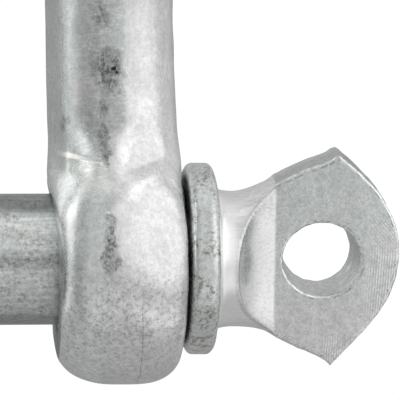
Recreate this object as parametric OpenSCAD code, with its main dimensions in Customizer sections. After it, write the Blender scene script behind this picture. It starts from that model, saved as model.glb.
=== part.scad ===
// Bow shackle with a screw pin: a forged bow and a forged eye pin, in millimetres.
// The origin is on the pin's axis, midway between the ears. +X runs along the pin
// towards its head, +Z up to the crown of the bow, and -Y is the front.

/* [Bow] */
// Diameter of the bow's round bar
bar_d = 15.7; // [15:0.1:16.5]
// Clear width between the two ears
jaw_w = 32; // [31:0.5:36]
// Inward lean of each straight limb, in degrees
limb_lean = 1.8; // [0:0.1:3]
// Height of each straight limb above the pin's axis
limb_h = 30; // [28:1:40]
// Radius of the outward bend above each limb, at the bar's centre
flare_r = 22; // [14:1:26]
// Clear width inside the round of the bow
bow_w = 48; // [46:1:56]

/* [Ears] */
// Outside diameter of each ear
ear_d = 30.8; // [29:0.1:32]
// Thickness of each ear, along the pin
ear_t = 15; // [14:0.5:17]
// How much smaller the rim's radius is at the flat inner face
rim_drop_in = 2.7; // [1:0.1:3.5]
// How much smaller the rim's radius is at the outer face
rim_drop_out = 3.2; // [1:0.1:4]
// Height above the pin's axis up to which the inner faces are flattened
flat_h = 13.6; // [12:0.1:16]
// Diameter of the plain hole, in the ear at the pin's head
plain_bore_d = 17.4; // [16.8:0.1:18]
// Diameter of the smooth envelope of the threaded hole, in the far ear
tapped_bore_d = 16.4; // [16.3:0.1:16.8]

/* [Pin shank] */
// Diameter of the pin
pin_d = 16; // [15.5:0.1:16]
// Diameter over the thread
thread_d = 15.8; // [15:0.1:16]
// Length of the threaded end
thread_len = 17; // [14:0.5:20]
// How far the tip stands out of the threaded ear
tip_out = 1; // [0:0.5:3]

/* [Pin head] */
// Diameter of the collar that seats on the plain ear
collar_d = 23.4; // [21:0.1:26]
// Thickness of the collar
collar_t = 3.9; // [3:0.1:5]
// Diameter of the round neck behind the collar
neck_d = 16.7; // [15:0.1:18]
// Thickness of the flattened eye
eye_t = 6.5; // [5:0.1:8]
// Width of the eye across its two sharp corners
eye_w = 25.8; // [22:0.1:30]
// Smallest diameter of the punched hole in the eye
hole_d = 8.4; // [6:0.1:9]
// Diameter of the hole's mouth on the side it was punched from
hole_mouth_d = 10; // [9.2:0.1:11]
// Turn of the whole head about the pin's axis when the pin is tight, in degrees
head_turn = 9; // [0:1:30]

/* [Hidden] */
$fn = 96;

bar_r = bar_d / 2;
jaw_x = jaw_w / 2;
ear_r = ear_d / 2;
ear_out_x = jaw_x + ear_t;
through = 60; // longer than any solid it cuts

// Limb: a straight line through the ear, leaning inwards by limb_lean.
limb_foot = [jaw_x + 7, 0];
limb_top = [limb_foot[0] - limb_h * tan(limb_lean), limb_h];

// Bow: an outward bend, then the round of the crown, tangent to each other.
crown_r = bow_w / 2 + bar_r;
bend_c = limb_top + flare_r * [cos(limb_lean), sin(limb_lean)];
crown_c = [0, bend_c[1] + sqrt(pow(crown_r + flare_r, 2) - pow(bend_c[0], 2))];
join_angle = atan2(crown_c[1] - bend_c[1], bend_c[0]);

// Centre line of the bow's bar, from inside the top of one limb over the crown to
// the other, as [x, z, direction in degrees]. A ring of points stands square to each.
bar_lap = 1.5; // length of the bar inside the limb
bar_step = 0.02; // the bar's radius is this much smaller, so that it enters the limb
bar_start = limb_top + bar_lap * [sin(limb_lean), -cos(limb_lean)];
bar_sides = 32;
bend_steps = 5;
crown_steps = 28;
bend_from = 180 + limb_lean;
bend_to = 180 - join_angle;
bend_path = [
    for (i = [0 : bend_steps - 1])
        let (a = bend_from + (bend_to - bend_from) * i / bend_steps)
        [bend_c[0] + flare_r * cos(a), bend_c[1] + flare_r * sin(a), a - 90]
];
crown_path = [
    for (i = [0 : crown_steps / 2])
        let (a = -join_angle + (90 + join_angle) * i * 2 / crown_steps)
        [crown_c[0] + crown_r * cos(a), crown_c[1] + crown_r * sin(a), a + 90]
];
half_path = concat([[bar_start[0], bar_start[1], 90 + limb_lean]], bend_path, crown_path);
bar_path = concat(
    half_path,
    [for (i = [len(half_path) - 2 : -1 : 0]) [-half_path[i][0], half_path[i][1], -half_path[i][2]]]
);

// Shoulder: a flattened cone that blends each limb into its ear.
shoulder_top_r = bar_r - 0.3;
shoulder_low_r = 12.6;
shoulder_top = 23;
shoulder_low = 8;
shoulder_inset = 0.6; // the shoulder stops this far inside the ear's outer face

// Rim of an ear: highest rim_peak from the inner face, falling away on both sides.
rim_peak = 6.9;
rim_steps = 8;
rim_in = [for (i = [0 : rim_steps - 1]) rim_peak * i / rim_steps];
rim_out = [for (i = [0 : rim_steps]) rim_peak + (ear_t - rim_peak) * i / rim_steps];
rim = concat(
    [for (x = rim_in) [ear_r - rim_drop_in * pow(1 - x / rim_peak, 2), x]],
    [for (x = rim_out) [ear_r - rim_drop_out * pow((x - rim_peak) / (ear_t - rim_peak), 3), x]]
);

// Pin: the collar starts seat_gap outside the plain ear.
pin_r = pin_d / 2;
seat_gap = 0.1;
collar_x = ear_out_x + seat_gap;
collar_end = collar_x + collar_t;
collar_r = collar_d / 2;
collar_round = 1.1;
tip_x = -ear_out_x - tip_out;
thread_end = tip_x + thread_len;
tip_chamfer = 1.5;

// Head: a round neck, two ramps down to the flat eye, and a leaf-shaped outline.
neck_r = neck_d / 2;
ramp_x = collar_end + 2.5;
flat_x = ramp_x + 4.7;
corner_x = collar_end + 14.7;
tip_eye_x = collar_end + 22.3;
eye_r = eye_w / 2;
eye_rise = 0.35; // the eye is forged this much off the pin's axis
hole_x = collar_end + 12.8;
hole_rise = 0.7;
hole_throat = 4; // length of the hole's straight wall, from the far face
nose_steps = 10;
nose_power = 1.12; // 1 makes the nose a half ellipse, and more makes it more pointed

// Half outline of the nose, from a corner to the tip, as [x, half width].
nose = [
    for (i = [0 : nose_steps])
        let (s = i / nose_steps)
        [corner_x + (tip_eye_x - corner_x) * sin(90 * s), eye_r * pow(cos(90 * s), nose_power)]
];

// The bar of the bow: one ring of points round each point of bar_path.
module bar() {
    r = bar_r - bar_step;
    points = [
        for (p = bar_path)
            for (k = [0 : bar_sides - 1])
                let (a = 360 * k / bar_sides, out = r * cos(a))
                [p[0] + out * sin(p[2]), r * sin(a), p[1] - out * cos(p[2])]
    ];
    last = (len(bar_path) - 1) * bar_sides;
    walls = [
        for (j = [0 : len(bar_path) - 2])
            for (k = [0 : bar_sides - 1])
                let (a = j * bar_sides + k, b = j * bar_sides + (k + 1) % bar_sides)
                [a, a + bar_sides, b + bar_sides, b]
    ];
    start_cap = [for (k = [0 : bar_sides - 1]) k];
    end_cap = [for (k = [bar_sides - 1 : -1 : 0]) last + k];
    polyhedron(points, concat([start_cap], walls, [end_cap]), convexity = 4);
}

// A solid of revolution about X: its outline is a list of [radius, x].
module turned(outline) {
    rotate([90, 0, 90])
        rotate_extrude()
            polygon(outline);
}

// A straight cylinder along X.
module cross_hole(d, from, to) {
    translate([from, 0, 0])
        rotate([0, 90, 0])
            cylinder(h = to - from, d = d);
}

module ear() {
    translate([jaw_x, 0, 0])
        turned(concat([[0, 0]], rim, [[0, ear_t]]));
}

module limb() {
    translate([limb_foot[0], 0, limb_foot[1]])
        rotate([0, -limb_lean, 0])
            cylinder(h = limb_h / cos(limb_lean), r = bar_r);
}

module shoulder() {
    intersection() {
        translate([limb_foot[0] - shoulder_low * tan(limb_lean), 0, shoulder_low])
            rotate([0, -limb_lean, 0])
                cylinder(h = shoulder_top - shoulder_low, r1 = shoulder_low_r, r2 = shoulder_top_r);
        translate([jaw_x, -through / 2, 0])
            cube([ear_t - shoulder_inset, through, through]);
    }
}

// One side of the bow: ear, shoulder and straight limb.
module side() {
    ear();
    shoulder();
    limb();
}

module bow_body() {
    color("#b9bfbe")
        difference() {
            union() {
                bar();
                side();
                mirror([1, 0, 0])
                    side();
            }
            translate([-jaw_x, -through / 2, flat_h - through])
                cube([jaw_w, through, through]);
            cross_hole(plain_bore_d, 0, through);
            cross_hole(tapped_bore_d, -through, 0);
        }
}

module shank() {
    turned([
        [0, tip_x],
        [thread_d / 2 - tip_chamfer, tip_x],
        [thread_d / 2, tip_x + tip_chamfer],
        [thread_d / 2, thread_end],
        [pin_r, thread_end + 0.5],
        [pin_r, collar_x],
        [collar_r - collar_round, collar_x],
        [collar_r, collar_x + collar_round],
        [collar_r, collar_end - collar_round],
        [collar_r - collar_round, collar_end],
        [neck_r, collar_end],
        [neck_r, ramp_x],
        [0, ramp_x]
    ]);
}

// The leaf-shaped outline of the eye, seen square on, as wide as the forged blank.
module eye_outline() {
    upper = concat([[ramp_x - 1, neck_r + 0.1], [ramp_x + 1, neck_r + 0.1]], nose);
    lower = [for (i = [len(upper) - 2 : -1 : 0]) [upper[i][0], -upper[i][1]]];
    translate([0, eye_rise])
        polygon(concat(upper, lower));
}

// Thickness of the head, seen from its edge: round neck, ramps, flat eye.
module eye_section() {
    polygon([
        [ramp_x - 1, neck_r + 1],
        [ramp_x, neck_r],
        [flat_x, eye_t / 2],
        [tip_eye_x + 1, eye_t / 2],
        [tip_eye_x + 1, -eye_t / 2],
        [flat_x, -eye_t / 2],
        [ramp_x, -neck_r],
        [ramp_x - 1, -neck_r - 1]
    ]);
}

// The round neck, opening out so that it only rounds the ramps' corners.
module neck_blend() {
    turned([
        [0, collar_end - 1],
        [neck_r, collar_end - 1],
        [neck_r, ramp_x + 0.8],
        [neck_r + 14, ramp_x + 12],
        [neck_r + 14, tip_eye_x + 2],
        [0, tip_eye_x + 2]
    ]);
}

module eye_blank() {
    intersection() {
        rotate([90, 0, 0])
            translate([0, 0, -through / 2])
                linear_extrude(height = through)
                    eye_outline();
        translate([0, 0, -through / 2])
            linear_extrude(height = through)
                eye_section();
        neck_blend();
    }
}

module eye_hole() {
    translate([hole_x, 0, hole_rise])
        rotate([90, 0, 0]) {
            translate([0, 0, -through / 2])
                cylinder(h = through, d = hole_d);
            translate([0, 0, hole_throat - eye_t / 2])
                cylinder(h = eye_t - hole_throat + 0.01, d1 = hole_d, d2 = hole_mouth_d);
        }
}

module screw_pin() {
    color("#c3c7c4")
        rotate([head_turn, 0, 0])
            union() {
                shank();
                difference() {
                    eye_blank();
                    eye_hole();
                }
            }
}

bow_body();
screw_pin();
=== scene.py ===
"""Galvanised bow shackle with a screw pin: the two forgings, their zinc and the studio."""

import math

import bpy
import numpy as np
from mathutils import Matrix, Vector


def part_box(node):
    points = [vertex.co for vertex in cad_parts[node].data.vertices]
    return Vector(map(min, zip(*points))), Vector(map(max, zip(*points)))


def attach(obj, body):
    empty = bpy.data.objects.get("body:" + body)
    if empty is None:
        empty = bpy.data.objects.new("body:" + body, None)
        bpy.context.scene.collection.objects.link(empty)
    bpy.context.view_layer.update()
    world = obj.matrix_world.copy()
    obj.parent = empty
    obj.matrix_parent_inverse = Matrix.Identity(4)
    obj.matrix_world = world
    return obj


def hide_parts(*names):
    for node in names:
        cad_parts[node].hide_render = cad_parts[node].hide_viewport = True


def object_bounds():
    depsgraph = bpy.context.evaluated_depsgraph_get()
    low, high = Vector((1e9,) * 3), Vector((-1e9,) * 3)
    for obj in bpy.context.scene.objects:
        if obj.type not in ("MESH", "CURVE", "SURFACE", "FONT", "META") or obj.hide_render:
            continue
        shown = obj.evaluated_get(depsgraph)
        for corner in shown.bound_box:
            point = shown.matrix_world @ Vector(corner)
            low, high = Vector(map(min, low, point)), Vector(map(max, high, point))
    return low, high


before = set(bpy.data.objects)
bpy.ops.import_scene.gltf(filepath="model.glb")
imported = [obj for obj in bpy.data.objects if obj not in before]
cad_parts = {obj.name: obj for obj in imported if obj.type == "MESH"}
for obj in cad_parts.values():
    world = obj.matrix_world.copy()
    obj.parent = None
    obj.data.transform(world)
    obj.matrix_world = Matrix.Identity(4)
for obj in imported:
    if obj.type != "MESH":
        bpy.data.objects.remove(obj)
cad_lo, cad_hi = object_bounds()

MM = 0.001  # the shapes below are worked out in millimetres

# ---------------------------------------------------------------- driving sizes, mm
BOW_LO, BOW_HI = (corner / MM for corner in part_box("bow_body"))
PIN_LO, PIN_HI = (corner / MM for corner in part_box("screw_pin"))

BAR_R = 7.85  # round bar of the bow
EAR_R = -BOW_LO.z  # the ears' rims are the lowest part of the bow
JAW_X = 16.0  # half the clear width between the ears
JAW_TILT = 0.045  # slope of the ears' inner faces, from front to back
EAR_OUT_X = 31.0  # outer faces of the ears
EAR_HALF = 8.2  # half the ears' thickness, before their seats are cut
LEAN = math.tan(math.radians(1.8))  # inward lean of the straight limbs
LIMB_X = 23.0  # the limbs' centre lines at the height of the pin
PLAIN_Z = 22.0  # height above which the limbs are plain round bar
LIMB_TOP = 30.0  # height at which the limbs start to bend outwards
FLARE_R = 22.0  # radius of that outward bend
CROWN_R = BOW_HI.x - BAR_R  # radius of the round of the bow, at the bar's centre
CROWN_Z = BOW_HI.z - BAR_R - CROWN_R
HAMMERED_SLANT = math.radians(21.0)  # of the nearly flat front outer side of the ears
TRIM_FACING = math.radians(76.0)  # where the limbs' trimmed flats face, from the front
TRIM_HALF = math.radians(20.0)  # half the angle of the bar's round that they take

PIN_R = 8.0
PLAIN_BORE_R = 8.7
THREAD_R = 7.9  # over the crests
THREAD_DEPTH = 1.1
THREAD_PITCH = 2.0
THREAD_GAP = 0.2  # between the pin's thread and the ear's
TAPPED_R = THREAD_R - THREAD_DEPTH + 0.35  # the tapped hole's least radius
LEAD_IN = 0.7  # how much wider than the pin's thread the tapped hole's mouths are
TIP_X = PIN_LO.x
TIP_CHAMFER = 1.3
THREAD_END_X = TIP_X + 17.0
THREAD_RUNOUT = 2.5
COLLAR_X0, COLLAR_X1 = EAR_OUT_X + 0.1, EAR_OUT_X + 3.95
COLLAR_R = 11.72
COLLAR_SIDE_EDGE, COLLAR_RIM_EDGE = 1.2, 2.1  # how far its edges are rounded
NECK_R = 8.2
RAMP_X0, RAMP_X1 = 37.1, 42.05  # the dies' ramps run from the round neck to the flat
RAMP_RISE, RAMP_CURVE = 3.1, 2.0  # how far they climb, straight and in a growing curve
HEAD_TURN = 9.0  # degrees that the tight pin's head is turned about its axis
EYE_T = 6.5  # thickness of the flattened eye
MOUTH_X, MOUTH_Z, MOUTH_R = 47.92, 0.42, 4.86  # where the punch went in, at the front
MOUTH_SQUASH = 0.06  # how much lower than wide the hole is there
FAR_X, FAR_Z, FAR_R = 47.8, 0.7, 4.15  # where it came out

# ---------------------------------------------------------------- implicit shapes
# A shape is a function of x, y and z that is negative inside and close to the distance
# in millimetres near its surface. The arguments may be arrays of any shapes that
# broadcast, so what depends on two of them is worked out on a plane only.


def smin(a, b, k):
    """Union of two shapes with a fillet about k wide."""
    h = np.maximum(k - np.abs(a - b), 0.0) / k
    return np.minimum(a, b) - h * h * k / 4


def smax(a, b, k):
    """Intersection of two shapes with its edge rounded over about k."""
    return -smin(-a, -b, k)


def smooth(lo, hi, t):
    """0 up to lo, 1 from hi, and a smooth step between them."""
    s = np.clip((t - lo) / (hi - lo), 0.0, 1.0)
    return s * s * (3 - 2 * s)


def arc_distance(x, z, centre, radius, start, end):
    """Distance in the plane to an arc, with start and end in radians."""
    dx, dz = x - centre[0], z - centre[1]
    angle = np.arctan2(dz, dx)
    angle = np.where(angle < start - 1e-9, angle + 2 * math.pi, angle)
    on_arc = np.abs(np.hypot(dx, dz) - radius)
    to_ends = np.inf
    for a in (start, end):
        ex = centre[0] + radius * math.cos(a)
        ez = centre[1] + radius * math.sin(a)
        to_ends = np.minimum(to_ends, np.hypot(x - ex, z - ez))
    return np.where(angle <= end + 1e-9, on_arc, to_ends)


def centre_line(x, z):
    """Distance in the plane to the centre line of the bow's right half."""
    top_x = LIMB_X - LEAN * LIMB_TOP
    lean = math.atan(LEAN)
    bend = (top_x + FLARE_R * math.cos(lean), LIMB_TOP + FLARE_R * math.sin(lean))
    join = math.atan2(CROWN_Z - bend[1], bend[0])
    on_limb = np.clip((z - LEAN * (x - LIMB_X)) / (1 + LEAN * LEAN), 0.0, LIMB_TOP)
    limb = np.hypot(x - (LIMB_X - LEAN * on_limb), z - on_limb)
    outward = arc_distance(x, z, bend, FLARE_R, math.pi - join, math.pi + lean)
    crown = arc_distance(x, z, (0.0, CROWN_Z), CROWN_R, -join, math.pi / 2 + 0.01)
    return np.minimum(np.minimum(limb, outward), crown)


def ear_and_limb(x, y, z):
    """The right ear and the lower part of its limb, as one pillow-edged forging."""
    # These are 1 on the limb, at the height of the pin's hole, at the bottom of the ear,
    # and, growing slowly, below the hole's axis.
    limb = smooth(7.5, 17.0, z)
    boss = smooth(11.0, 5.0, z)
    bottom = smooth(-6.0, -13.0, z)
    squareness = smooth(2.0, -9.0, z)
    across = x - (LIMB_X - LEAN * np.maximum(z, 0.0))
    rho = np.hypot(y, z)
    # The limb spreads fore and aft towards the ear, more on its outer side, where it
    # meets the round of the ear in a crease.
    outer = smooth(-2.0, 1.5, across)
    below_neck = np.where(z < 15.0, 18.0 - z, np.clip(21.0 - z, 0.0, 6.0) ** 2 / 12)
    strip_y = np.abs(y) - (0.2 + 0.17 * outer) * below_neck
    strip = np.where(z > 0, strip_y, rho) - BAR_R
    outline = smin(rho - EAR_R, strip, 0.2 + (3.8 - 1.8 * outer) * smooth(1.0, 8.0, z))
    edge = np.maximum(outline + BAR_R, 0.0)
    # The section is a superellipse, squarer at the ear than on the limb.
    half = EAR_HALF + (BAR_R - EAR_HALF) * limb
    inner_power = 1.4 * boss * (1 - bottom) + 0.35 * squareness
    outer_power = 1.1 * boss * (1 - bottom) + 0.8 * squareness + 0.6 * bottom
    power = 2.1 + np.where(across > 0, outer_power, inner_power) - 0.1 * limb
    level = (np.abs(across / half) ** power + (edge / BAR_R) ** power) ** (1 / power)
    forging = (level - 1) * BAR_R
    # The front outer side is nearly flat, as a hammer or a die left it.
    facet = across * math.sin(HAMMERED_SLANT) + (edge - BAR_R) * math.cos(HAMMERED_SLANT)
    shoulder = 0.3 * smooth(5.5, 9.5, z) * smooth(1.0, -1.0, z - 9.8 - 0.38 * across)
    fade = squareness + shoulder + smooth(14.0, 21.0, z) + 3 * smooth(-5.0, 0.0, y)
    forging = smax(forging, facet - fade * 1.5, 0.3 + 0.7 * boss)
    # The inner face is cut flat at a tilt, which is less low on the back, and the cut
    # fades out above the pin.
    square = 0.027 * np.maximum(y, 0.0) * smooth(-2.0, -6.0, z) * smooth(-12.5, -9.0, z)
    fading = 0.25 + 0.35 * smooth(1.0, 5.0, z) + 1.5 * smooth(5.0, 13.0, z)
    flat = JAW_X + JAW_TILT * y - square - fading - x
    seat = x - EAR_OUT_X
    return smax(smax(forging, flat, 0.4), seat, 0.5)


def thread_radius(x, y, z):
    """Radius of a right-hand 60-degree thread, with flat crests and roots."""
    turn = np.arctan2(y, -z) / (2 * math.pi)
    phase = (x / THREAD_PITCH + turn) % 1.0
    rise = 1 - np.abs(2 * phase - 1)
    # About a tenth of each flank is cut off at the crest and at the root.
    rise = np.clip(1.25 * rise - 0.12, 0.0, 1.0)
    return THREAD_R - THREAD_DEPTH * (1 - rise)


def trimmed_flat(x, y, z):
    """A narrow flat down the front inner side of each limb, left by trimming the flash."""
    across = x - (LIMB_X - LEAN * z)
    depth = -across * math.sin(TRIM_FACING) - y * math.cos(TRIM_FACING)
    below = 1.2 * smooth(15.0, 8.0, z) + 12 * smooth(11.0, 7.0, z)
    above = 0.6 * smooth(31.0, 45.0, z) + 60 * smooth(44.0, 60.0, z)
    return depth - BAR_R * math.cos(TRIM_HALF) - (below + above)


def bow_shape(x, y, z):
    """The whole bow, with its plain hole on the right and its tapped hole on the left."""
    half_x = np.abs(x)
    rod = np.hypot(centre_line(half_x, z), y) - BAR_R
    body = np.where(z < PLAIN_Z, ear_and_limb(half_x, y, z), rod)
    body = smax(body, trimmed_flat(half_x, y, z), 0.25)
    rho = np.hypot(y, z)
    plain = rho - PLAIN_BORE_R
    crests = np.maximum(thread_radius(x, y, z) + THREAD_GAP, TAPPED_R)
    lead_in = THREAD_R + LEAD_IN - np.minimum(EAR_OUT_X - half_x, half_x - JAW_X)
    tapped = rho - np.maximum(crests, lead_in)
    return np.where(x > 0, smax(body, -plain, 0.5), smax(body, -tapped, 0.6))


# Outline of the flat eye seen square on, as [x, height above the pin's axis]. Each run
# between two sharp corners is one smooth curve through its points.
EYE_UPPER = [
    [32, 12], [37, 10.4], [39.6, 9.65], [41.0, 9.6], [42.6, 10.05], [45.1, 11.25],
    [48.0, 12.35], [48.9, 12.75], [49.3, 13.1], [49.9, 13.3],
]
EYE_NOSE = [
    [49.9, 13.3], [52.4, 11.2], [55.4, 7.8], [57.3, 3.0], [56.8, -2.3], [54.3, -7.2],
    [49.15, -12.85],
]
EYE_LOWER = [
    [49.15, -12.85], [47.9, -11.8], [44.0, -10.05], [42.3, -9.2], [41.0, -8.95],
    [39.0, -9.4], [37, -10.2], [32, -12],
]


def curve_through(points, steps=10):
    """Points along a Catmull-Rom curve, without its last one."""
    p = np.array([points[0], *points, points[-1]], float)
    t = np.linspace(0, 1, steps, endpoint=False)[:, None]
    runs = []
    for a, b, c, d in zip(p, p[1:], p[2:], p[3:]):
        bend = 2 * a - 5 * b + 4 * c - d + t * (3 * (b - c) + d - a)
        runs.append(b + t / 2 * (c - a + t * bend))
    return np.concatenate(runs)


EYE_OUTLINE = np.concatenate([curve_through(run) for run in (EYE_UPPER, EYE_NOSE, EYE_LOWER)])


def outline_distance(x, z, outline):
    """Signed distance in the plane to a closed outline."""
    x, z = np.broadcast_arrays(x, z)
    best = np.full(x.shape, np.inf)
    inside = np.zeros(x.shape, bool)
    for (ax, az), (bx, bz) in zip(outline, np.roll(outline, -1, axis=0)):
        ex, ez = bx - ax, bz - az
        t = np.clip(((x - ax) * ex + (z - az) * ez) / (ex * ex + ez * ez), 0, 1)
        best = np.minimum(best, (x - ax - t * ex) ** 2 + (z - az - t * ez) ** 2)
        if az != bz:
            inside ^= ((az > z) != (bz > z)) & (x < ax + (z - az) * ex / ez)
    return np.where(inside, -1.0, 1.0) * np.sqrt(best)


def punched_hole(x, y, z):
    """The eye's hole: wider and slightly flattened at the mouth, true at the far side."""
    depth = np.clip((y + EYE_T / 2) / EYE_T, -0.2, 1.2)
    radius = MOUTH_R + (FAR_R - MOUTH_R) * depth
    squash = 1 - MOUTH_SQUASH * (1 - depth)
    dx = x - (MOUTH_X + (FAR_X - MOUTH_X) * depth)
    dz = z - (MOUTH_Z + (FAR_Z - MOUTH_Z) * depth)
    return radius - np.hypot(dx, dz / squash)


def flared_blank(x, y, z):
    """The round neck, which flares towards the eye."""
    rho = np.hypot(y, z - 0.35 * smooth(37.0, 41.0, x))
    flare = NECK_R + 0.075 * np.maximum(x - 36.9, 0.0) ** 1.75
    flare = flare + 0.2 * np.maximum(x - 41.0, 0.0) ** 2
    root = 0.45 * np.exp(-np.maximum(x - COLLAR_X1, 0.0) / 0.8)
    return rho - flare - root


def pressed_slab(x, y):
    """The space between the dies: flat over the eye, with a ramp up to the neck."""
    s = np.clip((RAMP_X1 - x) / (RAMP_X1 - RAMP_X0), 0.0, 1.6)
    half = EYE_T / 2 + RAMP_RISE * s + RAMP_CURVE * s**3
    tilt = np.where(s > 0, (RAMP_RISE + 3 * RAMP_CURVE * s**2) / (RAMP_X1 - RAMP_X0), 0.0)
    return (np.abs(y) - half) / np.sqrt(1 + tilt**2)


def head_shape(x, y, z):
    """Neck and eye: the flared blank, trimmed to the outline and pressed flat."""
    eye = smax(outline_distance(x, z, EYE_OUTLINE), pressed_slab(x, y), 0.4)
    head = smax(smax(flared_blank(x, y, z), eye, 0.15), COLLAR_X1 - 1 - x, 0.1)
    return smax(head, punched_hole(x, y, z), 0.25)


def collar_disc(x, rho):
    """The collar, a disc whose rim is rounded like a pillow's."""
    power = 2.2
    along = np.abs(x - (COLLAR_X0 + COLLAR_X1) / 2) - (COLLAR_X1 - COLLAR_X0) / 2
    dx = np.maximum(along + COLLAR_SIDE_EDGE, 0) / COLLAR_SIDE_EDGE
    dr = np.maximum(rho - COLLAR_R + COLLAR_RIM_EDGE, 0) / COLLAR_RIM_EDGE
    pillow = ((dx**power + dr**power) ** (1 / power) - 1) * COLLAR_SIDE_EDGE
    return np.maximum(pillow, np.maximum(along, rho - COLLAR_R) * 0.8)


def pin_shape(x, y, z):
    """The whole pin, before its head is turned."""
    rho = np.hypot(y, z)
    runout = smooth(THREAD_END_X - THREAD_RUNOUT, THREAD_END_X, x)
    threaded = thread_radius(x, y, z) * (1 - runout) + PIN_R * runout
    radius = np.where(x < THREAD_END_X, threaded, PIN_R)
    shank = smax(rho - radius, x - COLLAR_X0 - 1, 0.1)
    point = (rho - (THREAD_R - TIP_CHAMFER) - (x - TIP_X)) * math.sqrt(0.5)
    shank = smax(smax(shank, TIP_X - x, 0.4), point, 0.4)
    return smin(smin(shank, collar_disc(x, rho), 0.3), head_shape(x, y, z), 0.7)


# ---------------------------------------------------------------- shapes to meshes

REFINEMENTS = 4  # steps towards the surface along each edge of the grid that crosses it
CORNER_PULL = 0.03  # how strongly a cell's point is held to the mean of its crossings
OVERHANG = 0.1  # how far a point may leave its cell, as a part of the cell's size


def stations(*spans):
    """Grid positions along one axis: (start, end, step) spans that follow each other."""
    runs = [np.linspace(a, b, max(2, round((b - a) / step) + 1))[:-1] for a, b, step in spans]
    return np.concatenate([*runs, [spans[-1][1]]])


def gradient(shape, p):
    """The shape's unit normals at points p."""
    h = 0.02
    g = np.empty_like(p)
    for axis in range(3):
        step = np.zeros(3)
        step[axis] = h
        g[:, axis] = shape(*(p + step).T) - shape(*(p - step).T)
    return g / np.maximum(np.linalg.norm(g, axis=1, keepdims=True), 1e-12)


def crossings(shape, field, axes, axis):
    """Where the grid's edges along one axis cross the surface: their cells and points."""
    inside = field < 0
    a = np.take(inside, range(field.shape[axis] - 1), axis)
    b = np.take(inside, range(1, field.shape[axis]), axis)
    cell = np.argwhere(a != b)
    nxt = cell.copy()
    nxt[:, axis] += 1
    f0, f1 = field[tuple(cell.T)], field[tuple(nxt.T)]
    p0 = np.stack([axes[k][cell[:, k]] for k in range(3)], 1)
    p1 = np.stack([axes[k][nxt[:, k]] for k in range(3)], 1)
    for _ in range(REFINEMENTS):
        t = np.clip(f0 / (f0 - f1), 0.05, 0.95)[:, None]
        mid = p0 + (p1 - p0) * t
        fm = shape(*mid.T)
        same = (fm < 0) == (f0 < 0)
        p0, f0 = np.where(same[:, None], mid, p0), np.where(same, fm, f0)
        p1, f1 = np.where(same[:, None], p1, mid), np.where(same, f1, fm)
    t = (f0 / (f0 - f1))[:, None]
    return cell, p0 + (p1 - p0) * t, a[tuple(cell.T)]


def contour(shape, xs, ys, zs):
    """A closed mesh of quads on the shape's surface, by dual contouring: each grid cell
    that the surface crosses gets one point, which sits on any edge or corner inside."""
    axes = (xs, ys, zs)
    field = shape(xs[:, None, None], ys[None, :, None], zs[None, None, :])
    cells = tuple(n - 1 for n in field.shape)
    quads, rings, hits, normals = [], [], [], []
    for axis in range(3):
        cell, point, inward = crossings(shape, field, axes, axis)
        normal = gradient(shape, point)
        u, v = (axis + 1) % 3, (axis + 2) % 3
        ring = []
        for du, dv in ((-1, -1), (0, -1), (0, 0), (-1, 0)):
            c = cell.copy()
            c[:, u] += du
            c[:, v] += dv
            ring.append((c[:, 0] * cells[1] + c[:, 1]) * cells[2] + c[:, 2])
        ring = np.stack(ring, 1)
        quads.append(np.where(inward[:, None], ring, ring[:, ::-1]))
        rings += list(ring.T)
        hits += [point] * 4
        normals += [normal] * 4
    point, normal = np.concatenate(hits), np.concatenate(normals)
    used, index = np.unique(np.concatenate(rings), return_inverse=True)
    count = np.bincount(index).astype(float)

    def gather(values):
        return np.bincount(index, weights=values, minlength=len(used))

    centre = np.stack([gather(point[:, k]) for k in range(3)], 1) / count[:, None]
    offset = np.einsum("ij,ij->i", normal, point - centre[index])
    matrix = np.empty((len(used), 3, 3))
    for i in range(3):
        for j in range(3):
            matrix[:, i, j] = gather(normal[:, i] * normal[:, j])
    right = np.stack([gather(normal[:, k] * offset) for k in range(3)], 1)
    matrix += CORNER_PULL * count[:, None, None] * np.eye(3)
    shift = np.linalg.solve(matrix, right[:, :, None])[:, :, 0]
    corner = np.stack(np.unravel_index(used, cells), 1)
    low = np.stack([axes[k][corner[:, k]] for k in range(3)], 1)
    high = np.stack([axes[k][corner[:, k] + 1] for k in range(3)], 1)
    margin = OVERHANG * (high - low)
    points = np.clip(centre + shift, low - margin, high + margin)
    return points, np.searchsorted(used, np.concatenate(quads))


def lumps(p, size, seed, waves=14):
    """A smooth random field between about -1 and 1, with features of the given size."""
    rng = np.random.default_rng(seed)
    value = np.zeros(len(p))
    for _ in range(waves):
        d = rng.normal(size=3)
        d *= rng.uniform(0.7, 1.4) * math.pi / size / np.linalg.norm(d)
        value += np.sin(p @ d + rng.uniform(0, 2 * math.pi))
    return value / math.sqrt(waves) * 1.1


def fold(p):
    """A lap of metal on the near limb's front, just above the ear."""
    x, y, z = p.T
    line = 12.9 - 0.2 * (x - 16.5)
    below = smooth(line + 0.4, line - 0.3, z)
    fading = smooth(7.5, 11.5, z)
    width = smooth(15.6, 16.8, x) * smooth(21.2, 19.8, x)
    return 0.2 * below * fading * width * smooth(-3.0, -5.0, y)


def mesh_object(name, points, faces, **fields):
    """A smooth mesh; each field, one number a point, becomes an attribute for materials."""
    mesh = bpy.data.meshes.new(name)
    mesh.from_pydata((points * MM).tolist(), [], faces.tolist())
    mesh.polygons.foreach_set("use_smooth", [True] * len(mesh.polygons))
    for field, values in fields.items():
        mesh.attributes.new(field, "FLOAT", "POINT").data.foreach_set("value", values)
    mesh.validate()
    mesh.update()
    obj = bpy.data.objects.new(name, mesh)
    bpy.context.scene.collection.objects.link(obj)
    return obj


COARSE = 1.0
END_ROOM, SIDE_ROOM = 0.9, 0.6  # how far the grids reach past the shapes

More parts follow.
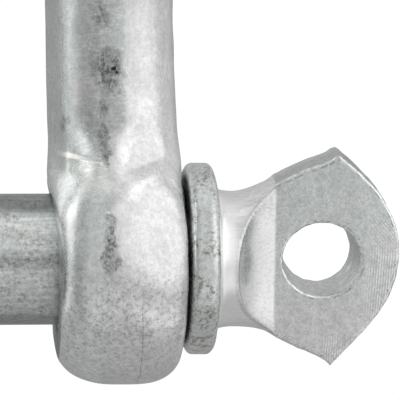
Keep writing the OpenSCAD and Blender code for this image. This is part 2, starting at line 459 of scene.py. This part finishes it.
# The uneven surface of the forgings: height of the lumps, their size, and a seed.
BOW_LUMPS = ((0.07, 9.0, 11), (0.022, 2.6, 12))
PIN_LUMPS = ((0.045, 6.0, 21), (0.015, 2.0, 22))
TORN_EDGE_LUMPS = (0.03, 0.8, 23)


def build_bow():
    """The bow's mesh: fine at the near ear, and finest at the fold and crease above it."""
    near, far, rod = 0.31 * COARSE, 0.52 * COARSE, 0.74 * COARSE
    front, back, ear = 0.38 * COARSE, 0.6 * COARSE, 0.42 * COARSE
    crease, limb = 0.22 * COARSE, 0.5 * COARSE
    front_y, crease_z, limb_z, rod_z = -6.0, 9.0, 14.4, 32.0
    inner_x = JAW_X - 2.0
    side = EAR_OUT_X + END_ROOM
    far_side = EAR_OUT_X + 1.1  # so that no station falls just inside the far ear's seat
    rim = EAR_R + SIDE_ROOM
    xs = stations(
        (BOW_LO.x - END_ROOM, -far_side, rod), (-far_side, -inner_x, far),
        (-inner_x, inner_x, rod), (inner_x, side, near), (side, BOW_HI.x + END_ROOM, rod),
    )
    ys = stations((-rim, front_y, front), (front_y, rim, back))
    zs = stations(
        (-rim, crease_z, ear), (crease_z, limb_z, crease),
        (limb_z, rod_z, limb), (rod_z, BOW_HI.z + END_ROOM, rod),
    )
    points, faces = contour(bow_shape, xs, ys, zs)
    normals = gradient(bow_shape, points)
    # The lumps end at the rims of the drilled holes.
    forged = smooth(9.4, 10.4, np.hypot(points[:, 1], points[:, 2]))
    relief = sum(height * lumps(points, size, seed) for height, size, seed in BOW_LUMPS)
    relief = relief + fold(points)
    points = points + normals * (relief * forged)[:, None]
    return mesh_object("bow_forging", points, faces)


# Small dents in the eye's front face: x, z, reach and depth.
EYE_DENTS = (
    (47.1, 9.3, 0.75, 0.16), (48.5, 9.7, 0.6, 0.14), (46.9, 10.3, 0.4, 0.08),
    (43.9, 6.8, 0.5, 0.06),
)
EYE_BOTTOM, EYE_TOP = -13.4, 14.2  # just past the eye's lowest and highest corners


def eye_edges(p):
    """1 along the edges of the eye and of its hole, where the metal is a little torn."""
    x, y, z = p.T
    rim = np.abs(punched_hole(x, y, z))
    side = np.abs(outline_distance(x, z, EYE_OUTLINE))
    return smooth(0.7, 0.2, np.minimum(rim, side)) * smooth(RAMP_X1, RAMP_X1 + 1, x)


def build_pin():
    """The pin's mesh, with how far each point is from the edges that its zinc follows."""
    thread, head, shank, across = 0.26 * COARSE, 0.27 * COARSE, 0.8 * COARSE, 0.3 * COARSE
    thread_end, head_start = THREAD_END_X + 0.5, COLLAR_X0 - 0.5
    rim = COLLAR_R + SIDE_ROOM
    xs = stations(
        (TIP_X - SIDE_ROOM, thread_end, thread), (thread_end, head_start, shank),
        (head_start, PIN_HI.x + END_ROOM, head),
    )
    ys = stations((-rim, rim, across))
    zs = stations((EYE_BOTTOM, EYE_TOP, across))
    points, faces = contour(pin_shape, xs, ys, zs)
    normals = gradient(pin_shape, points)
    forged = smooth(COLLAR_X0 - 1, COLLAR_X0, points[:, 0])
    relief = sum(height * lumps(points, size, seed) for height, size, seed in PIN_LUMPS)
    height, size, seed = TORN_EDGE_LUMPS
    relief = relief + height * lumps(points, size, seed) * eye_edges(points)
    for x, z, reach, depth in EYE_DENTS:
        away = np.hypot(points[:, 0] - x, points[:, 2] - z)
        relief = relief - depth * smooth(reach, 0.0, away) * (points[:, 1] < -3.0)
    points = points + normals * (relief * forged)[:, None]
    x, y, z = points.T
    edges = {
        "from_rim": -punched_hole(x, y, z),
        "from_border": -outline_distance(x, z, EYE_OUTLINE),
        "from_neck": pressed_slab(x, y) - flared_blank(x, y, z),
    }
    turn = np.array(Matrix.Rotation(math.radians(HEAD_TURN), 3, "X"))
    return mesh_object("pin_forging", points @ turn.T, faces, **edges)


# ---------------------------------------------------------------- node trees

RAGGED_X, RAGGED_Z = 2.4, 3.0  # how ragged the borders of places are, mm


class Graph:
    """Short names for the nodes of one tree. Values are sockets or plain numbers."""

    def __init__(self, tree):
        self.tree = tree

    def put(self, socket, value):
        """Sets an input, or links an output to it."""
        if hasattr(value, "is_output"):
            self.tree.links.new(value, socket)
        else:
            socket.default_value = value

    def node(self, kind, inputs, **settings):
        """A new node. Its inputs are given by a socket's name or number."""
        node = self.tree.nodes.new("ShaderNode" + kind)
        for name, setting in settings.items():
            setattr(node, name, setting)
        for socket, value in inputs.items():
            self.put(node.inputs[socket], value)
        return node

    def math(self, operation, *values):
        return self.node("Math", dict(enumerate(values)), operation=operation).outputs[0]

    def add(self, a, b):
        return self.math("ADD", a, b)

    def sub(self, a, b):
        return self.math("SUBTRACT", a, b)

    def mul(self, a, b):
        return self.math("MULTIPLY", a, b)

    def maximum(self, a, b):
        return self.math("MAXIMUM", a, b)

    def mix(self, factor, a, b):
        """Mix of two numbers."""
        return self.node("Mix", {0: factor, 2: a, 3: b}, data_type="FLOAT").outputs[0]

    def blend(self, factor, a, b):
        """Mix of two colours."""
        return self.node("Mix", {0: factor, 6: a, 7: b}, data_type="RGBA").outputs[2]

    def step(self, value, lo, hi, out_lo=0.0, out_hi=1.0):
        """A smooth step from out_lo, where value is lo, to out_hi, where it is hi."""
        if lo > hi:
            lo, hi, out_lo, out_hi = hi, lo, out_hi, out_lo
        ends = {"From Min": lo, "From Max": hi, "To Min": out_lo, "To Max": out_hi}
        inputs = {"Value": value, **ends}
        return self.node("MapRange", inputs, interpolation_type="SMOOTHSTEP").outputs[0]

    def band(self, value, a, b, c, d):
        """0 up to a, 1 from b to c, and 0 again from d."""
        return self.mul(self.step(value, a, b), self.step(value, d, c))

    def stripe(self, value, at, outer, inner):
        """1 within `inner` of where value is `at`, and 0 beyond `outer`."""
        return self.step(self.math("ABSOLUTE", self.add(value, -at)), outer, inner)

    def shade(self, tone, mask, factor):
        """The tone, times the factor where the mask is 1."""
        return self.mul(tone, self.mix(mask, 1.0, factor))


class Zinc(Graph):
    """The nodes of one zinc material. Its x, y and z are in mm; with a turn, in degrees,
    they are those of the part before it was turned about the X axis."""

    def __init__(self, name, turn=0.0):
        self.material = bpy.data.materials.new(name)
        self.material.use_nodes = True
        super().__init__(self.material.node_tree)
        place = self.scaled(self.node("TexCoord", {}).outputs["Object"], [1 / MM] * 3)
        turned = {"Vector": place, "Angle": math.radians(-turn)}
        self.mm = self.node("VectorRotate", turned, rotation_type="X_AXIS").outputs["Vector"]
        self.x, self.y, self.z = self.node("SeparateXYZ", {0: self.mm}).outputs
        self.ragged_x = self.add(self.x, self.centred(self.noise(0.7, seed=31), RAGGED_X))
        self.ragged_z = self.add(self.z, self.centred(self.noise(0.7, seed=32), RAGGED_Z))

    def scaled(self, vector, scale):
        node = self.node("VectorMath", {0: vector, 1: scale}, operation="MULTIPLY")
        return node.outputs[0]

    def noise(self, size, detail=2.0, rough=0.5, stretch=(1, 1, 1), seed=0.0, warp=0.0):
        """Noise from 0 to 1 with features about `size` mm across, longer along `stretch`."""
        node = self.node("TexNoise", {
            "Vector": self.scaled(self.mm, [1 / s for s in stretch]), "W": seed,
            "Scale": 0.5 / size, "Detail": detail, "Roughness": rough, "Distortion": warp,
        }, noise_dimensions="4D")
        return node.outputs["Fac"]

    def centred(self, noise, spread):
        """Noise spread about 0."""
        return self.mul(self.add(noise, -0.5), spread)

    def veins(self, size):
        """Distance from the borders of irregular cells about `size` mm across."""
        wobble = self.node("TexNoise", {"Vector": self.mm, "Scale": 1.1 / size})
        moved = {0: wobble.outputs["Color"], 1: [size] * 3, 2: self.mm}
        place = self.node("VectorMath", moved, operation="MULTIPLY_ADD").outputs[0]
        cells = {"Vector": place, "Scale": 1 / size}
        return self.node("TexVoronoi", cells, feature="DISTANCE_TO_EDGE").outputs["Distance"]

    def attribute(self, name):
        return self.node("Attribute", {}, attribute_name=name).outputs["Fac"]

    def near(self, x, z, reach_x, reach_z):
        """1 at a place on the front, seen square on, and 0 beyond its ragged border."""
        dx = self.mul(self.add(self.ragged_x, -x), 1 / reach_x)
        dz = self.mul(self.add(self.ragged_z, -z), 1 / reach_z)
        far = self.add(self.mul(dx, dx), self.mul(dz, dz))
        front = self.step(self.y, -1.0, -4.0)
        return self.mul(self.step(far, 1.0, 0.0), front)

    def finish(self, tone, tint, roughness, height, relief, metallic=1.0):
        """Metal of the given tone; height from 0 to 1 stands for relief mm of bump."""
        shader = self.tree.nodes["Principled BSDF"]
        colour = self.node("VectorMath", {0: tint, "Scale": tone}, operation="SCALE")
        bump = self.node("Bump", {"Height": height, "Distance": relief * MM})
        self.put(shader.inputs["Base Color"], colour.outputs[0])
        self.put(shader.inputs["Roughness"], roughness)
        self.put(shader.inputs["Metallic"], metallic)
        self.put(shader.inputs["Normal"], bump.outputs[0])
        self.put(shader.inputs["Specular Tint"], EDGE_TINT)
        return self.material


# ---------------------------------------------------------------- zinc

COOL = (0.958, 1.0, 0.986, 1.0)
PLAIN = (0.995, 1.0, 0.997, 1.0)
WARM = (1.0, 0.99, 0.93, 1.0)
EDGE_TINT = (0.88, 0.88, 0.88, 1.0)  # of the metal at grazing angles

# Dull places on the near limb's and the near ear's front: x, z, how far they reach, and
# how dull they are.
DULL_PLACES = (
    (20.3, 30.2, 1.1, 2.6, 0.8), (19.8, 26.5, 1.0, 2.8, 0.35), (21.4, 23.2, 2.2, 3.7, 1.0),
    (20.9, 18.4, 1.0, 1.7, 0.8), (20.9, 15.4, 0.9, 2.2, 0.9), (19.2, 16.5, 1.7, 2.4, 0.3),
    (20.9, 13.0, 0.9, 1.3, 0.9), (16.4, 16.6, 0.6, 1.6, 0.7), (22.9, 20.4, 0.9, 0.6, 0.7),
    (21.1, 2.9, 0.9, 4.4, 1.0), (21.1, 0.3, 1.6, 2.2, 1.0), (21.2, 0.5, 0.8, 1.1, 1.0),
)
# Pits in the largest of them: x, z and how far they reach.
PITS = ((22.0, 23.3, 0.32, 0.3), (22.3, 22.8, 0.26, 0.3), (21.9, 23.6, 0.5, 0.16))
# Painted highlights on the near limb's and the near ear's front: x, z, how far they reach,
# and how much brighter they are.
PAINTED_HIGHLIGHTS = (
    (20.5, 10.2, 8.5, 3.0, 0.22),  # between the fold and the ear
    (16.2, 5.2, 2.0, 6.2, 0.36),  # along the ear's left edge
    (22.5, 13.8, 1.7, 3.4, 0.18),  # beside the crease
)


def bow_zinc():
    """The bow's zinc. In the noises, the first number is the size in mm; in the steps,
    the first two are where they begin and end."""
    n = Zinc("bow_zinc")
    grain = n.noise(0.11, 2.0, 0.6, seed=1)
    flecks = n.noise(0.3, 4.0, 0.7, seed=2, warp=0.5)
    patches = n.noise(1.5, 3.0, 0.6, seed=3, warp=1.2)
    clouds = n.noise(5.0, 2.0, 0.5, seed=4)
    drawn = n.noise(0.25, 3.0, 0.6, stretch=(1, 1, 7), seed=5)
    streaks = n.noise(0.55, 4.0, 0.65, stretch=(1, 1, 2.2), seed=7, warp=0.8)
    specks = n.noise(0.2, 3.0, 0.65, stretch=(1, 1, 1.5), seed=9, warp=0.6)
    ripples = n.noise(0.24, 2.0, 0.5, stretch=(3.5, 3.5, 1), seed=10, warp=1.0)
    low = n.mul(n.step(n.z, 2.0, -5.0), n.step(n.z, -15.5, -10.0, 0.2, 1.0))
    front = n.step(n.y, -2.0, -4.0)
    side = n.math("ABSOLUTE", n.x)

    tone = n.step(clouds, 0.3, 0.7, 0.71, 0.77)
    tone = n.shade(tone, low, n.step(n.z, -4.0, -9.0, 1.0, 1.19))
    tone = n.mul(tone, n.step(grain, 0.3, 0.7, 0.92, 1.07))
    tone = n.mul(tone, n.step(drawn, 0.3, 0.7, 0.95, 1.04))
    tone = n.mul(tone, n.step(patches, 0.48, 0.53, 0.955, 1.02))
    tone = n.shade(tone, n.mix(low, 0.5, 1.0), n.step(flecks, 0.3, 0.7, 1.14, 0.82))
    # Fine broken dark veins, dense on the lower half of the ear and rare elsewhere.
    vein = n.mul(n.step(n.veins(0.6), 0.12, 0.02), n.step(flecks, 0.46, 0.56))
    vein = n.mul(vein, n.step(patches, 0.4, 0.55, 0.3, 1.0))
    tone = n.shade(tone, n.mul(vein, n.mix(low, 0.2, 1.0)), 0.66)

    # The dull places, with a few bright glints in them, and the pits.
    dull_and_painted_shade = 0.0
    for *place, strength in DULL_PLACES:
        dull_and_painted_shade = n.maximum(dull_and_painted_shade, n.mul(n.near(*place), strength))
    dark = n.mul(dull_and_painted_shade, n.step(specks, 0.42, 0.6, 0.35, 1.0))
    tone = n.shade(tone, dark, 0.26)
    glint = n.mul(n.step(dull_and_painted_shade, 0.1, 0.3), n.step(n.noise(0.2, 1.0, seed=19), 0.66, 0.7))
    tone = n.shade(tone, glint, 1.5)
    pits = 0.0
    for place in PITS:
        pits = n.maximum(pits, n.near(*place))
    tone = n.shade(tone, n.step(pits, 0.1, 0.5), 0.12)

    # The middle of the limb's front is duller than its right side, with a ragged border,
    # and rippled.
    border = n.add(n.step(n.z, 17.5, 14.8, 23.5, 21.3), n.centred(streaks, 1.6))
    beyond = n.sub(n.x, border)
    middle = n.mul(n.step(beyond, 0.12, -0.12), n.step(n.x, 17.0, 19.0))
    middle = n.mul(middle, n.mul(n.step(n.z, 9.5, 10.5), front))
    tone = n.shade(tone, middle, n.step(n.z, 18.0, 15.0, 0.88, 0.95))
    tone = n.shade(tone, middle, n.step(ripples, 0.35, 0.65, 0.9, 1.08))
    # A painted highlight lies along the fold, where its ledge faces up.
    fold_highlight = n.stripe(n.add(n.z, n.mul(n.x, 0.21)), 16.35, 0.4, 0.15)
    fold_highlight = n.mul(fold_highlight, n.step(flecks, 0.2, 0.5, 0.8, 1.0))
    fold_highlight = n.mul(fold_highlight, n.mul(n.band(n.x, 15.2, 16.4, 18.5, 21.0), front))
    tone = n.shade(tone, fold_highlight, 1.45)
    # Brighter zinc in places: the painted highlights listed above, the limb's left flank, a
    # painted highlight along the trimmed flat, and where a tool skidded off the shoulder.
    boost = 1.0
    for *place, strength in PAINTED_HIGHLIGHTS:
        boost = n.add(boost, n.mul(n.near(*place), strength))
    flank = n.mul(n.band(n.x, 17.4, 18.8, 20.2, 21.4), front)
    boost = n.add(boost, n.mul(flank, n.step(n.z, 9.0, 12.0, 0.07, 0.13)))
    # A painted highlight along the edge of the trimmed flat.
    trimmed = n.mul(n.stripe(n.x, 16.5, 0.7, 0.1), front)
    trimmed = n.mul(trimmed, n.band(n.z, 14.0, 17.0, 34.0, 42.0))
    boost = n.add(boost, n.mul(trimmed, 0.16))
    skid = n.mul(n.stripe(n.add(n.x, n.mul(n.z, 0.63)), 35.3, 0.3, 0.12), front)
    skid = n.mul(skid, n.band(n.z, 8.1, 8.5, 9.8, 10.2))
    boost = n.add(boost, n.mul(skid, 0.3))
    tone = n.mul(tone, boost)
    # A thin seam down the lower half of the ear.
    wander = n.centred(n.noise(1.6, seed=8), 0.5)
    seam = n.stripe(n.add(n.add(n.x, n.mul(n.z, 0.03)), wander), 24.9, 0.09, 0.03)
    seam = n.mul(seam, n.mul(n.step(n.z, -3.5, -6.5), n.step(n.y, 0.0, -1.0)))
    tone = n.shade(tone, n.mul(seam, n.step(flecks, 0.4, 0.55, 0.5, 1.0)), 0.55)
    # The inner faces of the ears, in the jaw, are rough and less metallic, with painted shade
    # darkening their tone.
    jaw_rough_and_shade = n.step(n.add(side, n.mul(n.y, -JAW_TILT)), JAW_X, JAW_X - 0.15)
    jaw_rough_and_shade = n.mul(jaw_rough_and_shade, n.step(n.z, 0.0, -4.0))
    tone = n.shade(tone, jaw_rough_and_shade, 0.4)
    # The ears' outer edges carry painted light above the pin's axis, lifting the shade in the
    # groove by the collar, and are darker below it.
    painted_groove_light = n.mul(n.step(side, EAR_OUT_X - 1.2, EAR_OUT_X - 0.3), n.step(n.z, 0.0, 3.0))
    tone = n.shade(tone, painted_groove_light, 1.22)
    darker_lower_edge = n.step(side, EAR_OUT_X - 2.4, EAR_OUT_X - 0.6)
    darker_lower_edge = n.mul(darker_lower_edge, n.band(n.z, -9.0, -6.0, -1.0, 2.0))
    tone = n.shade(tone, darker_lower_edge, 0.8)

    rough = n.add(n.step(patches, 0.48, 0.53, 0.27, 0.23), n.mul(dark, 0.15))
    rough = n.add(rough, n.step(grain, 0.3, 0.7, -0.03, 0.05))
    rough = n.mix(jaw_rough_and_shade, rough, 0.85)
    metallic = n.mix(jaw_rough_and_shade, 1.0, 0.1)
    clean = n.step(n.noise(2.2, seed=6), 0.52, 0.68)
    tint = n.blend(n.maximum(clean, n.step(beyond, -0.2, 0.4)), COOL, PLAIN)
    # Warm tint of painted light on the fold's highlight and on a patch just below it.
    tint = n.blend(n.maximum(fold_highlight, n.mul(n.near(19.0, 10.6, 3.5, 2.0), 0.5)), tint, WARM)
    height = n.add(n.mul(grain, 0.3), n.mul(flecks, 0.5))
    height = n.add(height, n.mul(patches, 0.9))
    height = n.add(height, n.mul(n.mul(ripples, middle), 0.8))
    return n.finish(tone, tint, rough, height, 0.02, metallic)


def pin_zinc():
    """The pin's zinc, which turns with its head."""
    n = Zinc("pin_zinc", HEAD_TURN)
    grain = n.noise(0.11, 2.0, 0.6, seed=11)
    flecks = n.noise(0.3, 4.0, 0.7, seed=12, warp=0.5)
    patches = n.noise(1.3, 3.0, 0.6, seed=13, warp=1.0)
    clouds = n.noise(3.5, 3.0, 0.55, seed=17)
    rolled = n.noise(0.3, 3.0, 0.6, stretch=(9, 1, 1), seed=14)
    brushed = n.noise(0.17, 3.0, 0.6, stretch=(30, 1, 1), seed=15)
    from_border, from_rim = n.attribute("from_border"), n.attribute("from_rim")
    from_neck = n.attribute("from_neck")

    # The parts of the pin along its axis: shank, collar, neck with its ramps, flat face.
    shank = n.step(n.x, COLLAR_X0 + 0.4, COLLAR_X0 - 0.2)
    shank_side = n.mul(shank, n.step(n.x, TIP_X + 0.2, TIP_X + 1.0))
    head = n.step(n.x, COLLAR_X1 - 0.2, COLLAR_X1 + 0.1)
    collar = n.sub(n.sub(1.0, shank), head)
    face = n.step(n.x, RAMP_X1, RAMP_X1 + 0.25)
    neck = n.sub(head, face)
    coarse = n.mix(neck, 1.0, 0.2)

    tone = n.mix(neck, n.mix(collar, 0.71, 0.75), 1.0)
    tone = n.mix(shank, tone, n.step(rolled, 0.3, 0.7, 0.58, 0.78))
    tone = n.shade(tone, coarse, n.step(grain, 0.3, 0.7, 0.88, 1.1))
    tone = n.shade(tone, coarse, n.step(flecks, 0.3, 0.7, 1.14, 0.84))
    tone = n.shade(tone, face, n.step(clouds, 0.35, 0.65, 0.96, 1.05))
    tone = n.mul(tone, n.step(n.x, 50.0, 55.0, 1.0, 1.1))
    spot = n.mul(n.step(flecks, 0.48, 0.62), n.step(patches, 0.4, 0.56, 0.1, 1.0))
    tone = n.shade(tone, n.mul(spot, n.add(collar, n.mul(shank, 0.5))), 0.5)
    ramp = n.mul(neck, n.step(n.x, 36.5, 38.0, 0.25, 1.0))
    tone = n.shade(tone, ramp, n.step(brushed, 0.3, 0.7, 0.86, 1.12))
    tone = n.shade(tone, n.mul(ramp, n.step(n.z, 3.3, 3.5)), 1.05)
    # Painted shade: the neck is darker above and below, and along the line where the ramp
    # starts.
    painted_neck_shade = n.maximum(n.step(n.z, 3.0, 7.5), n.step(n.z, -6.0, -8.5))
    tone = n.shade(tone, n.mul(neck, painted_neck_shade), 0.87)
    start = n.mul(n.stripe(from_neck, 0.0, 0.5, 0.1), 0.28)
    inside = n.mul(n.step(from_neck, 1.6, 0.2), n.step(from_neck, -0.1, 0.1, 0.0, 0.1))
    tone = n.mul(tone, n.sub(1.0, n.mul(n.add(start, inside), neck)))
    # Painted light on the collar's seat side, lifting the shade in the groove by the ear.
    painted_groove_light = n.mul(n.step(n.x, COLLAR_X0 + 1.1, COLLAR_X0 + 0.2), collar)
    tone = n.shade(tone, painted_groove_light, 1.32)
    # The shank carries painted shade along its top and bottom, is darker in a line down its
    # front, and has a painted highlight in a band above that line.
    top = n.step(n.z, 6.3, 7.2)
    line = n.mul(n.stripe(n.z, 1.2, 1.3, 0.2), n.step(flecks, 0.3, 0.6, 0.4, 0.8))
    line = n.mul(line, n.step(n.y, 0.0, -2.0))
    dull_and_painted_shade = n.maximum(n.maximum(top, line), n.step(n.z, -5.0, -6.6))
    tone = n.shade(tone, n.mul(dull_and_painted_shade, shank_side), 0.55)
    shank_highlight = n.mul(shank_side, n.band(n.z, 2.2, 5.0, 6.0, 7.0))
    tone = n.shade(tone, shank_highlight, 1.2)

    # Edges of the eye and of its hole: darker on the side walls, a painted highlight in a
    # broken line along the edge, and in places a line of painted shade beside it.
    torn = n.noise(0.35, 3.0, 0.6, seed=20)
    on_face = n.mul(n.step(n.y, -2.6, -3.0), face)
    wall = n.mul(n.sub(face, on_face), n.step(n.y, 2.0, 0.0))
    tone = n.shade(tone, n.mul(wall, n.step(n.z, -2.0, 4.0)), 0.84)
    edge = n.math("MINIMUM", from_border, from_rim)
    edge_highlight = n.mul(n.step(edge, 0.26, 0.12), n.step(torn, 0.42, 0.5))
    edge_shade = n.mul(n.band(edge, 0.2, 0.3, 0.36, 0.5), n.step(torn, 0.5, 0.6))
    tone = n.shade(tone, n.mul(edge_highlight, on_face), 1.3)
    tone = n.shade(tone, n.mul(edge_shade, on_face), 0.62)
    nose = n.mul(n.step(n.x, 49.5, 51.0), n.step(from_border, 0.14, 0.05))
    tone = n.shade(tone, nose, 0.72)

    # Shear marks: close parallel lines near the cropped corner and edge of the eye, and
    # slanted ones above them.
    waver = n.mul(n.noise(2.0, seed=18), 9.0)

    def parallel_lines(slope, pitch):
        phase = n.mul(n.add(n.x, n.mul(n.z, slope)), 2 * math.pi / pitch)
        return n.step(n.math("SINE", n.add(phase, waver)), -0.9, 0.9)

    lines = parallel_lines(-0.06, 0.31)
    sheared = n.mul(n.step(n.x, 52.8, 54.6), n.band(n.z, -10.5, -8.0, 0.5, 3.5))
    corner = n.mul(n.step(n.x, 47.5, 49.0), n.step(n.z, -8.6, -10.2))
    marked = n.mul(n.maximum(sheared, n.mul(corner, 0.8)), n.step(n.y, -2.5, -3.1))
    marked = n.mul(marked, n.step(flecks, 0.3, 0.6, 1.0, 0.45))
    tone = n.shade(tone, marked, n.mix(lines, 0.8, 1.22))
    hatched = n.mul(n.step(n.x, 53.0, 54.5), n.band(n.z, 1.5, 3.0, 5.0, 6.5))
    hatched = n.mul(hatched, n.mul(on_face, 0.6))
    tone = n.shade(tone, hatched, n.mix(parallel_lines(0.8, 0.45), 0.85, 1.15))

    rough = n.mix(shank, n.step(patches, 0.48, 0.53, 0.3, 0.25), 0.34)
    clean = n.maximum(neck, n.mul(face, n.step(n.z, -2.0, -5.0)))
    tint = n.blend(n.maximum(clean, n.step(clouds, 0.52, 0.68)), COOL, PLAIN)
    # Warm tint on the collar and on the shank's painted highlight.
    warm_tinge = n.mul(n.add(shank_highlight, collar), n.step(patches, 0.4, 0.6, 0.0, 0.4))
    tint = n.blend(warm_tinge, tint, WARM)
    height = n.mul(n.add(n.mul(grain, 0.35), n.mul(flecks, 0.6)), coarse)
    height = n.add(height, n.mul(rolled, shank))
    height = n.add(height, n.mul(n.mul(brushed, neck), 0.25))
    height = n.add(height, n.mul(n.mul(lines, marked), 1.2))
    return n.finish(tone, tint, rough, height, 0.025)


bow = build_bow()
pin = build_pin()
bow.data.materials.append(bow_zinc())
pin.data.materials.append(pin_zinc())
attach(bow, "bow")
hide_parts("bow_body")
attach(pin, "pin")
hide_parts("screw_pin")

# ---------------------------------------------------------------- studio

PALE = 1.02  # brightness of the floor and of the backdrop behind it
FLOOR_HALF = 9.0  # half the floor's side, m
FLOOR_GAP = 0.2 * MM  # how far it lies below the object


def pale_floor():
    """A pale floor, seen by the camera only."""
    material = bpy.data.materials.new("studio_white")
    material.use_nodes = True
    g = Graph(material.node_tree)
    g.tree.nodes.clear()
    glow = g.node("Emission", {"Color": (1, 1, 1, 1), "Strength": PALE})
    g.node("OutputMaterial", {"Surface": glow.outputs[0]})
    around = ((-1, -1), (1, -1), (1, 1), (-1, 1))
    corners = [(FLOOR_HALF * i, FLOOR_HALF * j, 0) for i, j in around]
    mesh = bpy.data.meshes.new("studio_floor")
    mesh.from_pydata(corners, [], [(0, 1, 2, 3)])
    mesh.materials.append(material)
    floor = bpy.data.objects.new("studio_floor", mesh)
    floor.location.z = cad_lo.z - FLOOR_GAP
    bpy.context.scene.collection.objects.link(floor)
    floor.visible_diffuse = floor.visible_glossy = floor.visible_shadow = False


pale_floor()

# The studio's soft boxes: azimuth and elevation of the middle, half width and half
# height, softness of the edge (all in degrees, azimuth from the front towards +X), light.
SOFT_BOXES = (
    (52, 27, 34, 34, 16, 0.58),  # the main light, right of the camera
    (90, 20, 52, 45, 22, 0.26),  # its spill round to the side
    (-3, 4, 26, 60, 12, 0.2),  # a reflector beside the camera
    (-89, 14, 23, 40, 8, 0.42),  # the second light, on the left
    (-102, 38, 36, 20, 12, 0.55),  # its upper part, which reaches further back
    (50, -38, 34, 16, 12, 0.36),  # a low reflector
    (0, 90, 180, 24, 12, 0.38),  # overhead
    (180, 36, 70, 30, 16, 0.18),  # behind
)
AMBIENT = 0.42


def studio_light():
    """A dome of even light with soft boxes on it, in front of which hangs a pale backdrop
    that only the camera sees."""
    world = bpy.data.worlds.new("studio")
    bpy.context.scene.world = world
    world.use_nodes = True
    g = Graph(world.node_tree)

    def window(angle, half, soft):
        away = g.math("ABSOLUTE", angle)
        return g.step(away, math.radians(half + soft), math.radians(half - soft))

    direction = g.node("TexCoord", {}).outputs["Generated"]
    x, y, z = g.node("SeparateXYZ", {0: direction}).outputs
    azimuth = g.math("ARCTAN2", x, g.mul(y, -1.0))
    elevation = g.math("ARCSINE", z)
    light = AMBIENT
    for az, el, half_az, half_el, soft, strength in SOFT_BOXES:
        turn = g.math("WRAP", g.sub(azimuth, math.radians(az)), math.pi, -math.pi)
        across = window(turn, half_az, soft)
        up = window(g.sub(elevation, math.radians(el)), half_el, soft)
        light = g.add(light, g.mul(g.mul(across, up), strength))
    seen = g.node("LightPath", {}).outputs["Is Camera Ray"]
    background = g.tree.nodes["Background"]
    g.put(background.inputs["Color"], (1, 1, 1, 1))
    g.put(background.inputs["Strength"], g.mix(seen, light, PALE))


studio_light()

# The camera's target, the middle of this close view of the pin's head, and its place.
VIEW_X, VIEW_Z = 33.28 * MM, 7.15 * MM
VIEW_WIDTH = 48.86 * MM
CAMERA_DISTANCE = 1.0
CAMERA_AZIMUTH = math.radians(-5.4)
CAMERA_ELEVATION = math.radians(2.0)

target = Vector((VIEW_X, 0, VIEW_Z))
back = Vector((
    math.sin(CAMERA_AZIMUTH) * math.cos(CAMERA_ELEVATION),
    -math.cos(CAMERA_AZIMUTH) * math.cos(CAMERA_ELEVATION),
    math.sin(CAMERA_ELEVATION),
))
camera_data = bpy.data.cameras.new("camera")
camera = bpy.data.objects.new("camera", camera_data)
bpy.context.scene.collection.objects.link(camera)
camera_data.lens = camera_data.sensor_width * CAMERA_DISTANCE / VIEW_WIDTH
camera_data.clip_start = 0.05
camera_data.clip_end = 50.0
camera.rotation_mode = "QUATERNION"
camera.location = target + back * CAMERA_DISTANCE
camera.rotation_quaternion = (-back).to_track_quat("-Z", "Y")
bpy.context.scene.camera = camera

bpy.context.scene.view_settings.view_transform = "Standard"
